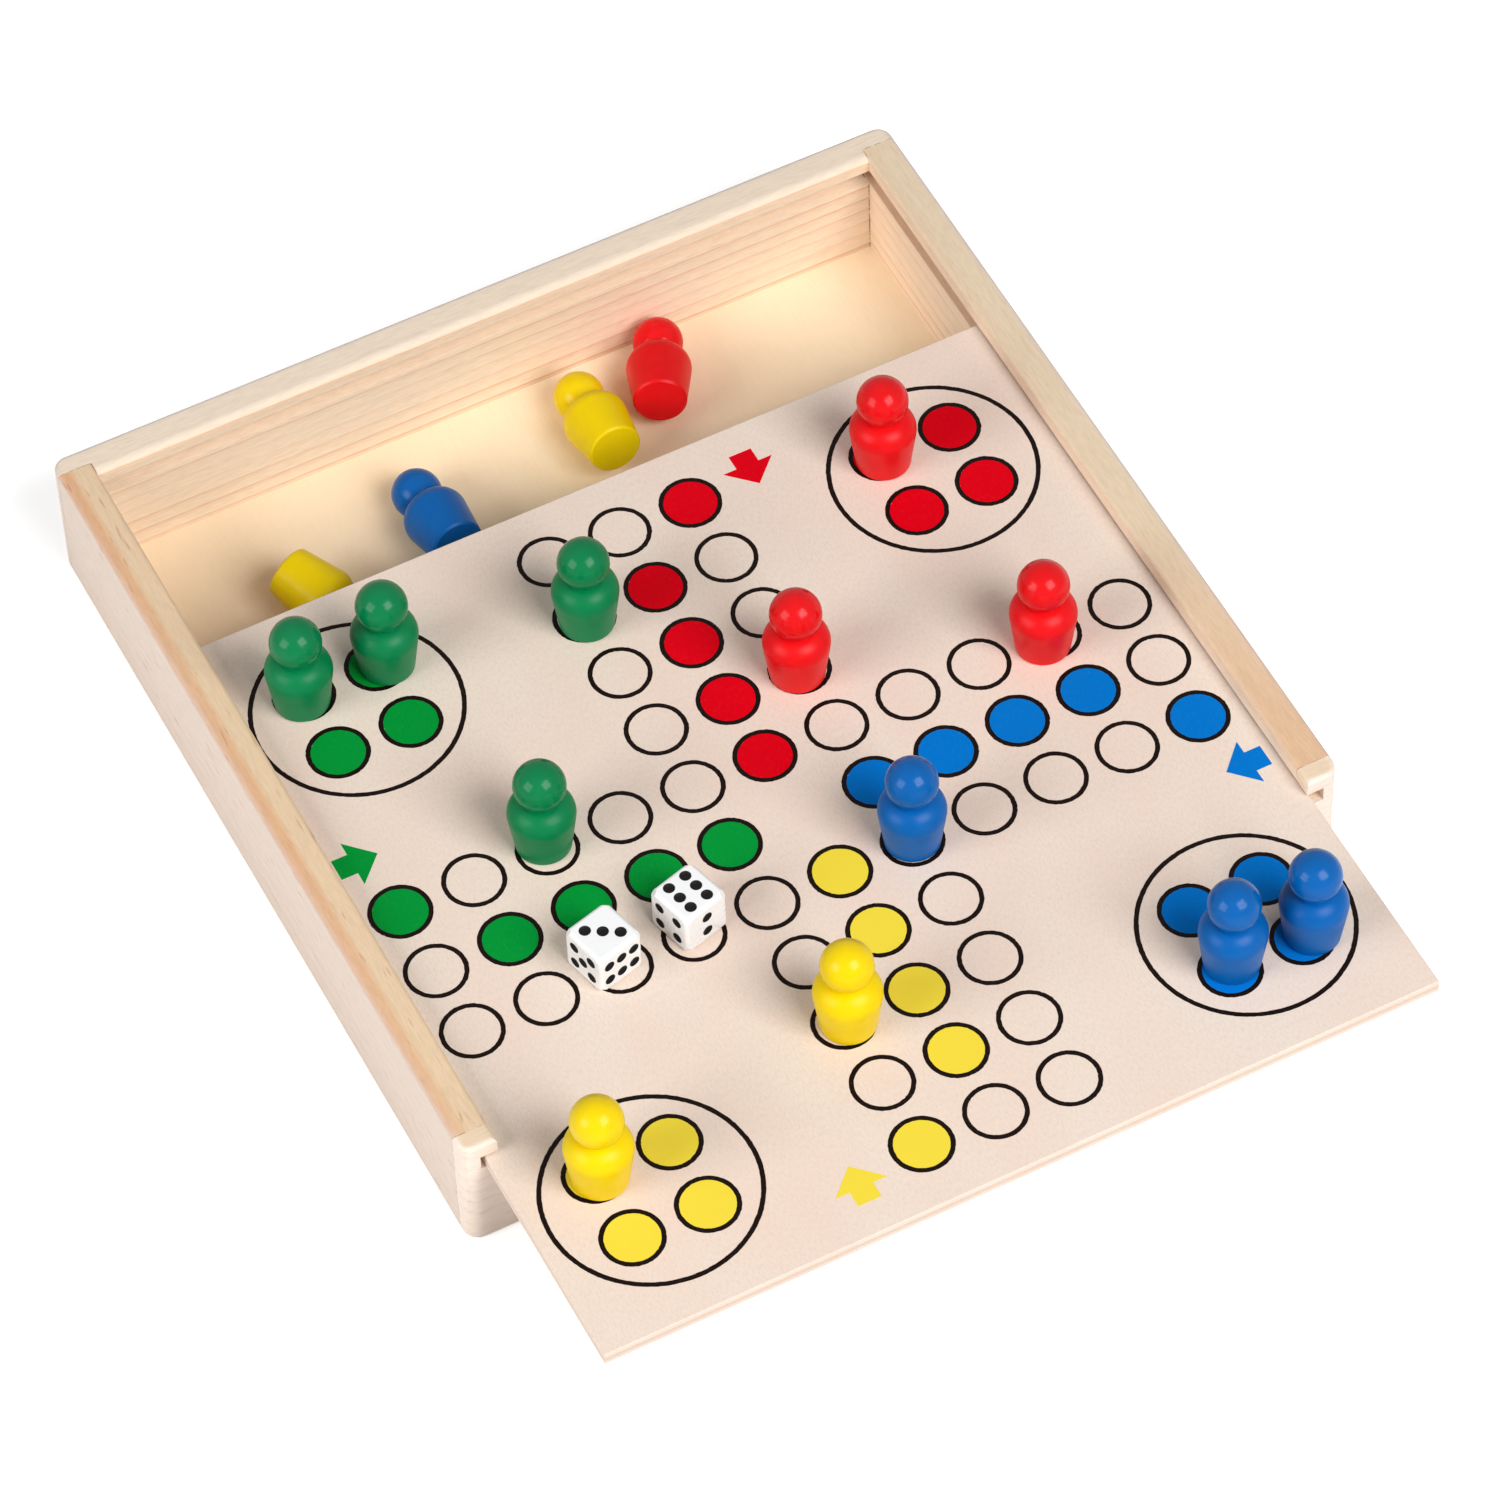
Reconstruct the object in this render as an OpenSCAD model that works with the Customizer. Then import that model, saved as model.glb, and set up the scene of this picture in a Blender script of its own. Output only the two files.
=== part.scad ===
// Wooden ludo box. The sliding lid is the game board, and the box below it
// stores the turned pawns and the two dice.
// Origin: centre of the box's underside. +Z is up, +Y is the back, and the lid
// is drawn out to the front.

/* [Box] */
// Outside width, left to right
box_w = 180; // [160:1:260]
// Outside depth, front to back
box_d = 180; // [170:1:260]
// Outside height
box_h = 29; // [27:0.5:45]
// Thickness of the wall boards
wall_t = 7; // [6:0.5:10]
// Thickness of the tongue that covers the side boards' ends
tongue_t = 4; // [3:0.5:5]
// Thickness of the plywood bottom
bottom_t = 3; // [2:0.5:4]
// Width of the rebate that holds the bottom
rebate_w = 3; // [2:0.5:4]
// Play round the bottom in its rebate
bottom_play = 0.15; // [0.1:0.05:0.4]
// Radius of the sanded outer edges
edge_r = 0.8; // [0.4:0.1:1.2]
// Radius of the upright outer corners
corner_r = 3; // [1.5:0.1:3.5]
// Radius of the back board's rounded inner top edge
back_round_r = 1.8; // [1:0.1:2.2]

/* [Sliding lid] */
// Thickness of the lid
lid_t = 3; // [2.5:0.5:4]
// Height of the lip above the groove
lip_h = 3.3; // [2.5:0.1:5]
// Depth of the groove in the side and back boards
groove_d = 3.5; // [3:0.1:4]
// Play above the lid in its groove
lid_rise = 0.5; // [0.3:0.1:1]
// Play beside the lid, on each side
lid_side_play = 2; // [1:0.1:2.2]
// Play behind the shut lid
lid_back_play = 0.5; // [0.2:0.1:1]
// Radius of the lid's sanded edges
lid_edge_r = 0.25; // [0.1:0.05:0.5]
// How far the lid stands open
lid_open = 47.3; // [0:0.1:60]
// How far the lid lies to the right in its play
lid_shift = -1; // [-1:0.1:1]

/* [Game board] */
// Least bare wood between the outer fields and the lid's side edges
side_margin = 2; // [1:0.5:6]
// Least bare wood between the outer fields and the lid's end edges
end_margin = 5.5; // [3:0.5:9]
// Distance of the board's centre to the right of the lid's centre line
board_shift = 0.4; // [-2:0.1:2]

/* [Pawns] */
// Radius of the foot
foot_r = 5.3; // [4.5:0.1:5.8]
// Chamfer round the foot
foot_chamfer = 0.4; // [0.2:0.1:0.8]
// Largest radius, at the shoulder
shoulder_r = 6.45; // [6:0.05:6.8]
// Height of the largest radius
shoulder_z = 9.6; // [8:0.1:11]
// Radius that the shoulder is rounded by
shoulder_round_r = 4; // [3:0.1:4.4]
// Radius of the neck
neck_r = 3.25; // [2.5:0.05:3.8]
// Radius of the round head
head_r = 5; // [4.4:0.1:5.4]
// Height of the head's centre
head_z = 17.8; // [17:0.1:19]

/* [Dice] */
// Edge length of a die
die_s = 10; // [8:0.5:12]
// Radius of a die's edges
die_edge_r = 0.9; // [0.4:0.1:1.2]
// How far a die's corners are rounded back
die_corner_cut = 1; // [0.4:0.1:1.3]
// Diameter of a pip
pip_d = 2.2; // [1.6:0.1:2.4]
// Depth of a pip
pip_depth = 0.35; // [0.2:0.05:0.5]
// Distance between the pips in a row of three
pip_step = 2.9; // [2.6:0.1:3]
// Distance between the two rows of a six, and between the pips of a two
pip_row_gap = 4; // [3.6:0.1:4.4]
// Offset of the outer pips on the three, four and five
pip_corner = 2.3; // [2:0.1:2.5]

/* [Hidden] */
$fn = 96;

// Places on the board, in fields to the right and to the back of its centre
green_places = [[-1, 3.92], [-3, 1.1], [-4.68, 4.49], [-3.5, 4.5]];
red_places = [[0.95, 1.96], [3.85, 0.9], [3.475, 4.45]];
blue_places = [[1, -1], [3.54, -4.44], [4.61, -4.52]];
yellow_places = [[-0.95, -3.03], [-4.58, -3.62]];
// Places and turns of the dice on the board
die_places = [[-3.146, -0.866], [-1.973, -0.824]];
die_turns = [14.6, 15.6];

// Pawns that lie in the box: the head's distance to the right of the middle and the
// gap from the head to the back board, as shares of the room's width and depth, and
// the way that the head points, in degrees from the right
red_lying = [0.1976, 0.0054, 65];
blue_lying = [-0.153, 0.0765, 92];
yellow_lying = [[0.0783, 0.0355, 88], [-0.2964, 0.2169, -65.5]];
// Space between a lying pawn and the bottom
lying_gap = 0.1;

inner_w = box_w - 2 * wall_t;
inner_d = box_d - 2 * wall_t;
side_len = box_d - 2 * tongue_t;
groove_w = inner_w + 2 * groove_d;
groove_back = inner_d / 2 + groove_d;
groove_h = lid_t + lid_rise;
groove_z = box_h - lip_h - groove_h;
lid_top_z = groove_z + lid_t;
lid_w = groove_w - 2 * lid_side_play;
lid_shut_back = groove_back - lid_back_play;
lid_d = box_d / 2 + lid_shut_back;
lid_y = lid_shut_back - lid_d / 2 - lid_open;
field_count = 11;
field_step = min(lid_w - 2 * side_margin, lid_d - 2 * end_margin) / field_count;
board_centre = [lid_shift + board_shift, lid_y];
// How far a cutter reaches past the wood
over = 5;
// How far a pawn's flank ends inside the round of its shoulder, so that they meet in one line
sink = 0.002;

// A lying pawn rests on its shoulder and its head, with its foot in the air
shoulder_ring_r = shoulder_r - shoulder_round_r;
rest_span = head_z - shoulder_z;
lying_tilt = atan2(shoulder_ring_r, rest_span)
    - asin((head_r - shoulder_round_r) / norm([rest_span, shoulder_ring_r]));

pine = [0.91, 0.79, 0.65];
plywood = [0.94, 0.80, 0.62];
birch = [0.91, 0.85, 0.78];
green = [0.04, 0.53, 0.32];
red = [0.90, 0.10, 0.12];
blue = [0.04, 0.36, 0.70];
yellow = [0.95, 0.87, 0.05];
white = [0.96, 0.96, 0.94];

// Shapes that several pieces share

// A rectangle about the origin with round corners
module round_rect(w, h, r) {
    square([w - 2 * r, h], center = true);
    square([w, h - 2 * r], center = true);
    for (x = [-1, 1], y = [-1, 1])
        translate([x * (w / 2 - r), y * (h / 2 - r)])
            circle(r);
}

// A block about the origin with all its edges rounded
module eased_block(w, d, h, r) {
    intersection() {
        linear_extrude(h, center = true)
            round_rect(w, d, r);
        rotate([90, 0, 0])
            linear_extrude(d, center = true)
                round_rect(w, h, r);
        rotate([90, 0, 90])
            linear_extrude(w, center = true)
                round_rect(d, h, r);
    }
}

// What is planed off to round an edge that runs along Y, with the edge at the origin
module edge_waste(len, r) {
    rotate([90, 0, 0])
        linear_extrude(len, center = true)
            difference() {
                translate([-r, -r])
                    square(r + over);
                translate([-r, -r])
                    circle(r);
            }
}

// The outside of the whole frame, with its round corners and its sanded edges
module frame_outline() {
    for (x = [-1, 1], y = [-1, 1])
        translate([x * (box_w / 2 - corner_r), y * (box_d / 2 - corner_r), 0])
            corner_post();
    translate([0, 0, box_h / 2]) {
        rotate([90, 0, 0])
            linear_extrude(box_d - 2 * corner_r, center = true)
                round_rect(box_w, box_h, edge_r);
        rotate([90, 0, 90])
            linear_extrude(box_w - 2 * corner_r, center = true)
                round_rect(box_d, box_h, edge_r);
    }
}

// A round post as high as the box, with sanded rims
module corner_post() {
    rotate_extrude()
        intersection() {
            translate([0, box_h / 2])
                round_rect(2 * corner_r, box_h, edge_r);
            square([corner_r, box_h]);
        }
}

// The room for the bottom and for the lid, cut out of every board
module frame_rooms() {
    translate([0, 0, bottom_t / 2])
        cube([inner_w + 2 * rebate_w, inner_d + 2 * rebate_w, bottom_t], center = true);
    translate([-groove_w / 2, -box_d / 2 - over, groove_z])
        cube([groove_w, groove_back + box_d / 2 + over, groove_h]);
}

module side_board() {
    difference() {
        intersection() {
            frame_outline();
            translate([inner_w / 2, -side_len / 2, 0])
                cube([wall_t, side_len, box_h]);
        }
        frame_rooms();
        translate([inner_w / 2, 0, box_h])
            mirror([1, 0, 0])
                edge_waste(side_len, edge_r);
    }
}

// The tongue runs across the whole width, and the board behind it stops at the side boards
module end_board() {
    translate([-box_w / 2, side_len / 2, 0])
        cube([box_w, tongue_t, box_h]);
    translate([-inner_w / 2, inner_d / 2, 0])
        cube([inner_w, wall_t - tongue_t, box_h]);
}

// The pieces of the box

module right_wall() {
    color(pine)
        side_board();
}

module left_wall() {
    color(pine)
        mirror([1, 0, 0])
            side_board();
}

module back_wall() {
    color(pine)
        difference() {
            intersection() {
                frame_outline();
                end_board();
            }
            frame_rooms();
            translate([0, inner_d / 2, box_h])
                rotate(-90)
                    edge_waste(inner_w, back_round_r);
        }
}

// The middle ends at the groove's floor, so that the lid slides out above it,
// and the ends keep their height and cap the side boards
module front_wall() {
    color(pine)
        difference() {
            intersection() {
                frame_outline();
                mirror([0, 1, 0])
                    end_board();
            }
            frame_rooms();
            translate([-inner_w / 2, -box_d / 2 - over, groove_z])
                cube([inner_w, wall_t + 2 * over, box_h]);
            for (side = [0, 1])
                mirror([side, 0, 0])
                    translate([inner_w / 2, -box_d / 2, box_h])
                        mirror([1, 0, 0])
                            edge_waste(2 * tongue_t, edge_r);
        }
}

module bottom_panel() {
    play = 2 * bottom_play;
    color(plywood)
        translate([0, 0, bottom_t / 2])
            cube([inner_w + 2 * rebate_w - play, inner_d + 2 * rebate_w - play, bottom_t], center = true);
}

module lid_board() {
    color(birch)
        translate([lid_shift, lid_y, groove_z + lid_t / 2])
            eased_block(lid_w, lid_d, lid_t, lid_edge_r);
}

// The playing pieces

// Half of a pawn's section: a straight flank that runs tangent into the round
// shoulder, a neck, and a round head
module pawn_section() {
    shoulder = [shoulder_ring_r, shoulder_z];
    foot_edge = [foot_r, foot_chamfer];
    reach = foot_edge - shoulder;
    flank_angle = atan2(reach[1], reach[0]) + acos(shoulder_round_r / norm(reach));
    flank_top = shoulder + (shoulder_round_r - sink) * [cos(flank_angle), sin(flank_angle)];
    intersection() {
        square([shoulder_r + over, head_z + head_r + over]);
        union() {
            polygon([[0, 0], [foot_r - foot_chamfer, 0], foot_edge, flank_top, shoulder, [0, shoulder_z]]);
            translate(shoulder)
                circle(shoulder_round_r);
            square([neck_r, head_z]);
            translate([0, head_z])
                circle(head_r);
        }
    }
}

module pawn(paint) {
    color(paint)
        rotate_extrude()
            pawn_section();
}

module on_board(place) {
    translate([board_centre[0] + place[0] * field_step, board_centre[1] + place[1] * field_step, lid_top_z])
        children();
}

module standing_pawn(paint, place) {
    on_board(place)
        pawn(paint);
}

module lying_pawn(paint, place) {
    head_x = place[0] * inner_w;
    head_y = (0.5 - place[1]) * inner_d - head_r;
    translate([head_x, head_y, bottom_t + lying_gap + head_r])
        rotate([0, 90 + lying_tilt, place[2]])
            translate([0, 0, -head_z])
                pawn(paint);
}

// The pips of a face that looks up, as places on it
function pips(count) =
    count == 6 ? [for (x = [-1, 0, 1], y = [-1, 1]) [x * pip_step, y * pip_row_gap / 2]] :
    count == 2 ? [for (y = [-1, 1]) [0, y * pip_row_gap / 2]] :
    concat(
        count % 2 == 1 ? [[0, 0]] : [],
        count >= 3 ? [[-pip_corner, pip_corner], [pip_corner, -pip_corner]] : [],
        count >= 4 ? [[-pip_corner, -pip_corner], [pip_corner, pip_corner]] : []);

// A die about its centre, with the three on top and the six to the front.
// Opposite faces add up to seven.
module die() {
    pip_r = pip_d / 2;
    cutter_r = (pip_r * pip_r + pip_depth * pip_depth) / (2 * pip_depth);
    faces = [[3, [0, 0, 0]], [4, [180, 0, 0]], [6, [90, 0, 0]],
        [1, [-90, 0, 0]], [5, [0, -90, 0]], [2, [0, 90, 0]]];
    color(white)
        difference() {
            intersection() {
                eased_block(die_s, die_s, die_s, die_edge_r);
                sphere(die_s * sqrt(3) / 2 - die_corner_cut);
            }
            for (face = faces, place = pips(face[0]))
                rotate(face[1])
                    translate([place[0], place[1], die_s / 2 - pip_depth + cutter_r])
                        sphere(cutter_r);
        }
}

module die_on_board(index, roll) {
    on_board(die_places[index])
        translate([0, 0, die_s / 2])
            rotate(die_turns[index])
                rotate(roll)
                    die();
}

left_wall();
right_wall();
back_wall();
front_wall();
bottom_panel();
lid_board();
standing_pawn(green, green_places[0]);  // pawn_green_1
standing_pawn(green, green_places[1]);  // pawn_green_2
standing_pawn(green, green_places[2]);  // pawn_green_3
standing_pawn(green, green_places[3]);  // pawn_green_4
standing_pawn(red, red_places[0]);  // pawn_red_1
standing_pawn(red, red_places[1]);  // pawn_red_2
standing_pawn(red, red_places[2]);  // pawn_red_3
lying_pawn(red, red_lying);  // pawn_red_4
standing_pawn(blue, blue_places[0]);  // pawn_blue_1
standing_pawn(blue, blue_places[1]);  // pawn_blue_2
standing_pawn(blue, blue_places[2]);  // pawn_blue_3
lying_pawn(blue, blue_lying);  // pawn_blue_4
standing_pawn(yellow, yellow_places[0]);  // pawn_yellow_1
standing_pawn(yellow, yellow_places[1]);  // pawn_yellow_2
lying_pawn(yellow, yellow_lying[0]);  // pawn_yellow_3
lying_pawn(yellow, yellow_lying[1]);  // pawn_yellow_4
die_on_board(0, [0, 0, 0]);  // die_1
die_on_board(1, [-90, 0, -90]);  // die_2
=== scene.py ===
import math
import random
import bpy
from mathutils import Euler, Matrix, Vector


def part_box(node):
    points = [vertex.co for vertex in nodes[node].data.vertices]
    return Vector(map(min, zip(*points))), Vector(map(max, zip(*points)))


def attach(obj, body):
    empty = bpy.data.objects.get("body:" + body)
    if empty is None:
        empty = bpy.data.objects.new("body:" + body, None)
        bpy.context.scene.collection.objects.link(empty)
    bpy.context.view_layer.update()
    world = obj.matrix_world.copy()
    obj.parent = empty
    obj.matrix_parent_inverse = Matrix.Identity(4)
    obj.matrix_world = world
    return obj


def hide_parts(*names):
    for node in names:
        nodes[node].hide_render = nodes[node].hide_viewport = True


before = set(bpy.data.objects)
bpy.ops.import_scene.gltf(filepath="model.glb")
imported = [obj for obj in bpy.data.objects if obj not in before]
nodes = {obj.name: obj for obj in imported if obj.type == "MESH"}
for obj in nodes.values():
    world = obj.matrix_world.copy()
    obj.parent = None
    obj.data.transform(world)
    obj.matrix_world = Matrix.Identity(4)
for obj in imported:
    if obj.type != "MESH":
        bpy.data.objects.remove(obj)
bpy.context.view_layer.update()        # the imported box, board, pawns and dice

mm = 0.001


# small helpers

def deselectAll():
    bpy.ops.object.select_all(action="DESELECT")


def named(name):
    piece = bpy.context.object
    piece.name = piece.data.name = name
    return piece


def modify(piece, kind, **settings):
    deselectAll()
    piece.select_set(True)
    bpy.context.view_layer.objects.active = piece
    made = piece.modifiers.new(kind.title(), kind)
    for key, value in settings.items():
        setattr(made, key, value)
    bpy.ops.object.modifier_apply(modifier=made.name)


def joined(name, parts):
    deselectAll()
    for part in parts:
        part.select_set(True)
    bpy.context.view_layer.objects.active = parts[0]
    bpy.ops.object.join()
    return named(name)


def copyAt(piece, place):
    # every copy has its own mesh, with its place in the mesh
    made = piece.copy()
    made.data = piece.data.copy()
    made.data.transform(place)
    bpy.context.scene.collection.objects.link(made)
    return made


def turned(degrees):
    return Euler([math.radians(v) for v in degrees]).to_matrix().to_4x4()


def linearColour(hexCode):
    channels = [int(hexCode[i:i + 2], 16) / 255 for i in (0, 2, 4)]
    return [c / 12.92 if c <= 0.04045 else ((c + 0.055) / 1.055) ** 2.4 for c in channels] + [1.0]


def grey(value):
    return [value, value, value, 1.0]


def newMaterial(name):
    material = bpy.data.materials.new(name)
    material.use_nodes = True
    material.node_tree.nodes.clear()
    return material, material.node_tree


def addNode(tree, kind, inputs=None, stops=None, **settings):
    # an input is a value, a hex colour, a socket, or a node whose first output is meant;
    # a colour ramp's stops are positions with their greys
    made = tree.nodes.new(kind)
    for key, value in settings.items():
        setattr(made, key, value)
    for socket, value in (inputs or {}).items():
        if isinstance(value, bpy.types.Node):
            value = value.outputs[0]
        if isinstance(value, bpy.types.NodeSocket):
            tree.links.new(value, made.inputs[socket])
        else:
            made.inputs[socket].default_value = linearColour(value) if isinstance(value, str) else value
    if stops:
        elements = made.color_ramp.elements
        while len(elements) < len(stops):
            elements.new(1.0)
        for element, (position, value) in zip(elements, stops):
            element.position = position
            element.color = grey(value)
    return made


# the photo's view and the studio

photoView = {
    "place": (-361.8, -790.3, 1148.2),      # mm, in the box's own frame
    "turn": (36.7935, 1.4431, -27.2118),    # degrees
    "lens": 182.85,                         # mm
    "pictureWidth": 36,                     # mm
}

studio = {
    "skyStrength": 0.17,      # the even light from all round
    "floorShade": "F2F2F2",
    "floorGlow": 0.5,         # the white that the camera sees beside the floor's own light
    "floorSize": 8.0,         # m
    "floorDrop": 0.1,         # mm under the box
    "softboxes": [            # direction, distance and size in m, power in W
        {"name": "leftSoftbox", "towards": (-0.867, -0.1, 0.49), "far": 1.6, "size": 0.9, "power": 14.4},
        {"name": "frontSoftbox", "towards": (0.22, -0.68, 0.7), "far": 1.6, "size": 0.9, "power": 23.4},
    ],
}


def setCamera():
    bpy.ops.object.camera_add(
        location=[v * mm for v in photoView["place"]],
        rotation=[math.radians(v) for v in photoView["turn"]])
    camera = named("photoCamera")
    camera.data.lens = photoView["lens"]
    camera.data.sensor_width = photoView["pictureWidth"]
    bpy.context.scene.camera = camera


def seenShare(tree):
    # 1 for the rays that show the background: the camera's, mirrored and clear ones
    path = addNode(tree, "ShaderNodeLightPath")
    seen = path.outputs["Is Camera Ray"]
    for other in ("Is Glossy Ray", "Is Transmission Ray"):
        seen = addNode(tree, "ShaderNodeMath", {0: seen, 1: path.outputs[other]}, operation="MAXIMUM")
    return seen


def setWorld():
    world = bpy.data.worlds.new("studioWorld")
    bpy.context.scene.world = world
    world.use_nodes = True
    tree = world.node_tree
    tree.nodes.clear()
    sky = addNode(tree, "ShaderNodeBackground", {"Color": grey(1.0), "Strength": studio["skyStrength"]})
    white = addNode(tree, "ShaderNodeBackground", {"Color": grey(1.0), "Strength": 1.0})
    mixed = addNode(tree, "ShaderNodeMixShader", {0: seenShare(tree), 1: sky, 2: white})
    addNode(tree, "ShaderNodeOutputWorld", {"Surface": mixed})


def setFloor():
    material, tree = newMaterial("paperSweep")    # matt paper, whose own white hides the horizon
    glow = addNode(tree, "ShaderNodeMath", {0: seenShare(tree), 1: studio["floorGlow"]}, operation="MULTIPLY")
    paper = addNode(tree, "ShaderNodeBsdfDiffuse", {"Color": studio["floorShade"]})
    light = addNode(tree, "ShaderNodeEmission", {"Strength": glow})
    both = addNode(tree, "ShaderNodeAddShader", {0: paper, 1: light})
    addNode(tree, "ShaderNodeOutputMaterial", {"Surface": both})
    bpy.ops.mesh.primitive_plane_add(size=studio["floorSize"], location=(0, 0, -studio["floorDrop"] * mm))
    floor = named("studioFloor")
    floor.data.materials.append(material)


def setSoftboxes():
    for box in studio["softboxes"]:
        towards = Vector(box["towards"]).normalized()
        bpy.ops.object.light_add(
            type="AREA", location=towards * box["far"], rotation=towards.to_track_quat("Z", "Y").to_euler())
        light = named(box["name"])
        light.data.shape = "SQUARE"
        light.data.size = box["size"]
        light.data.energy = box["power"]


print("camera and studio")
bpy.context.scene.view_settings.view_transform = "Standard"
deselectAll()
setCamera()
setWorld()
setFloor()
setSoftboxes()


# the woods

pine = {                     # planed and sanded pine: cream early wood with thin tan year rings
    "inside": "F8E3CA",      # painted light: brighter and warmer than the wood elsewhere, standing in for the front light and its warm bounce inside the box
    "line": "DC9A68",
    "fleck": "B07C58",
    # the joints' glue tone, which also stands for painted shadow in their gaps
    "glueAndShadowTone": "5A3C28",
    "ringSpacing": 3.4,      # mm between two year rings
    "ringWander": 2.2,
    "ringShade": ((0.0, 0.0), (0.5, 0.1), (0.8, 0.4), (0.92, 1.0), (1.0, 0.0)),    # soft early, hard late wood
    "lineShare": {"inside": 0.75, "top": 0.3, "outside": 0.2},
    "along": 0.05,           # the streaks' width as a share of their length
    "cloudSize": 16,         # mm
    "cloudRange": (0.32, 0.66),      # the rings fade out below it
    "fibreWidth": 0.45,      # mm, drawn twice as coarse as it is, so that it shows
    "fibreAlong": 0.14,
    "fibreShade": ((0.3, 0.9), (0.62, 1.0)),
    "fibreDepth": 0.05,      # mm
    "fleckWidth": 0.8,       # mm
    "fleckRange": (0.67, 0.78),
    "streakCore": 0.35,      # the warm streak is full over this share of its reach
    "streakShare": 0.9,
    "outerFace": 90.0,       # mm from the box's middle
    "outerFade": (1.4, 0.5),         # mm in from that face
    "topFace": 29.0,         # mm
    "topFade": (0.7, 0.2),           # mm under the top
    "sideEnd": 86.0,         # mm, where the side boards end against the tongues
    "buttEnd": 83.0,         # mm, where the end boards meet the side boards
    "lipBottom": 25.7,       # mm
    "seamWidth": 0.16,       # mm
    "seamGaps": 1.2,         # mm between two breaks of the glue line
    "seamRange": (0.42, 0.56),
    "seamShare": 0.75,
    "roughness": 0.6,
    "specular": 0.2,
}

birch = {                    # rotary-cut veneer on the lid: pale, with short fine flecks
    "pale": "E9DACC",
    "dark": "DBC9B9",
    "blush": "EAD2C4",
    "core": "C79F7C",        # the middle ply shows its end grain at the lid's edges
    "fleckWidth": 0.42,      # mm
    "fleckShare": 0.8,
    "cloudSize": 15,         # mm
    "along": 0.4,            # a fleck's width as a share of its length
    "roughness": 0.6,
    "fibreDepth": 0.03,      # mm
}

bottomPly = {                # rotary-cut veneer on the bottom: smooth and warm
    "pale": "FBE8C9",
    "dark": "F3DBB6",
    "blush": "FAE3C3",
    "core": "D8B080",
    "fleckWidth": 0.6,       # mm
    "fleckShare": 0.45,
    "cloudSize": 30,         # mm
    "along": 0.12,
    "roughness": 0.5,
    "fibreDepth": 0.015,     # mm
}

peeled = {                   # what the two veneers share
    "cloudRange": (0.3, 0.7),
    "fleckRange": (0.42, 0.75),
    "coreShare": 0.35,
    "coreFade": (0.55, 0.45),        # of a ply's thickness, from the board's middle height
    "specular": 0.2,
}

# each board's outside colour is painted light: pale pink for the cooler light on the side faces, brighter on the
# front board for light it lacks under the lid
boardCuts = {                # how each board lay in the tree: its turn, middle, and the pith from there
    "left_wall": {"side": True, "turn": 0, "start": (86.5, 0, -14), "pith": (25, 0, 38),
                  "outside": "E5D4C6", "top": "E7CBA9", "flecks": 0.45,
                  "streak": (-2.2, 2.2), "streakFrom": 200, "streakTo": 100},
    "right_wall": {"side": True, "turn": 0, "start": (-86.5, 40, -14), "pith": (-7, 0, 52),
                   "outside": "E5D4C6", "top": "E8D4B7", "flecks": 0.12,
                   "streak": (0.5, 6), "streakFrom": -20, "streakTo": -85},
    "back_wall": {"side": False, "turn": math.pi / 2, "start": (86.5, 90, -14), "pith": (-8, 0, 57),
                  "outside": "E5D4C6", "top": "EFDDC8", "flecks": 0.12, "streak": None},
    "front_wall": {"side": False, "turn": math.pi / 2, "start": (-86.5, 20, -14), "pith": (12, 0, 50),
                   "outside": "F7E6D8", "top": "ECD4B8", "flecks": 0.2, "streak": None},
}


def warmStreak(tree, cut, board, axes, limits):
    # a board sawn beside the heart shows a warm streak along its top, or along a part of it
    middle, reach = cut["streak"]
    local = addNode(tree, "ShaderNodeSeparateXYZ", {0: board})
    off = addNode(tree, "ShaderNodeMath", {0: local.outputs[0], 1: middle * mm}, operation="SUBTRACT")
    off = addNode(tree, "ShaderNodeMath", {0: off}, operation="ABSOLUTE")
    warm = addNode(tree, "ShaderNodeMapRange", {
        "Value": off, "From Min": reach * mm, "From Max": pine["streakCore"] * reach * mm,
        "To Max": pine["streakShare"]})
    grows = addNode(tree, "ShaderNodeMapRange", {
        "Value": axes.outputs[1], "From Min": cut["streakFrom"] * mm, "From Max": cut["streakTo"] * mm})
    for limit in (*limits, grows):
        warm = addNode(tree, "ShaderNodeMath", {0: warm, 1: limit}, operation="MULTIPLY")
    return warm


def glueAndShadowLine(tree, cut, place, across, deep, height):
    # glue and shadow in the joints, broken up by the fibres
    seam, sideEnd, buttEnd = (pine[key] * mm for key in ("seamWidth", "sideEnd", "buttEnd"))
    if cut["side"]:
        line = addNode(tree, "ShaderNodeMapRange", {
            "Value": deep, "From Min": sideEnd - seam, "From Max": sideEnd - 0.5 * seam})
    else:
        line = addNode(tree, "ShaderNodeMapRange", {
            "Value": across, "From Min": buttEnd - 2 * seam, "From Max": buttEnd - seam})
        past = addNode(tree, "ShaderNodeMapRange", {
            "Value": across, "From Min": buttEnd + 0.5 * seam, "From Max": buttEnd + seam})
        behind = addNode(tree, "ShaderNodeMapRange", {
            "Value": deep, "From Min": sideEnd, "From Max": sideEnd + seam})
        for other in (past, behind):
            line = addNode(tree, "ShaderNodeMath", {0: line, 1: other}, operation="SUBTRACT")
        underLip = addNode(tree, "ShaderNodeMapRange", {
            "Value": height, "From Min": pine["lipBottom"] * mm, "From Max": (pine["lipBottom"] - 1) * mm})
        line = addNode(tree, "ShaderNodeMath", {0: line, 1: underLip}, operation="MULTIPLY")
    gaps = addNode(tree, "ShaderNodeTexNoise", {
        "Vector": place, "Scale": 1 / (pine["seamGaps"] * mm), "Detail": 2.0})
    broken = addNode(tree, "ShaderNodeMapRange", {
        "Value": gaps, "From Min": pine["seamRange"][0], "From Max": pine["seamRange"][1],
        "To Max": pine["seamShare"]})
    return addNode(tree, "ShaderNodeMath", {0: line, 1: broken}, operation="MULTIPLY", use_clamp=True)


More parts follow.
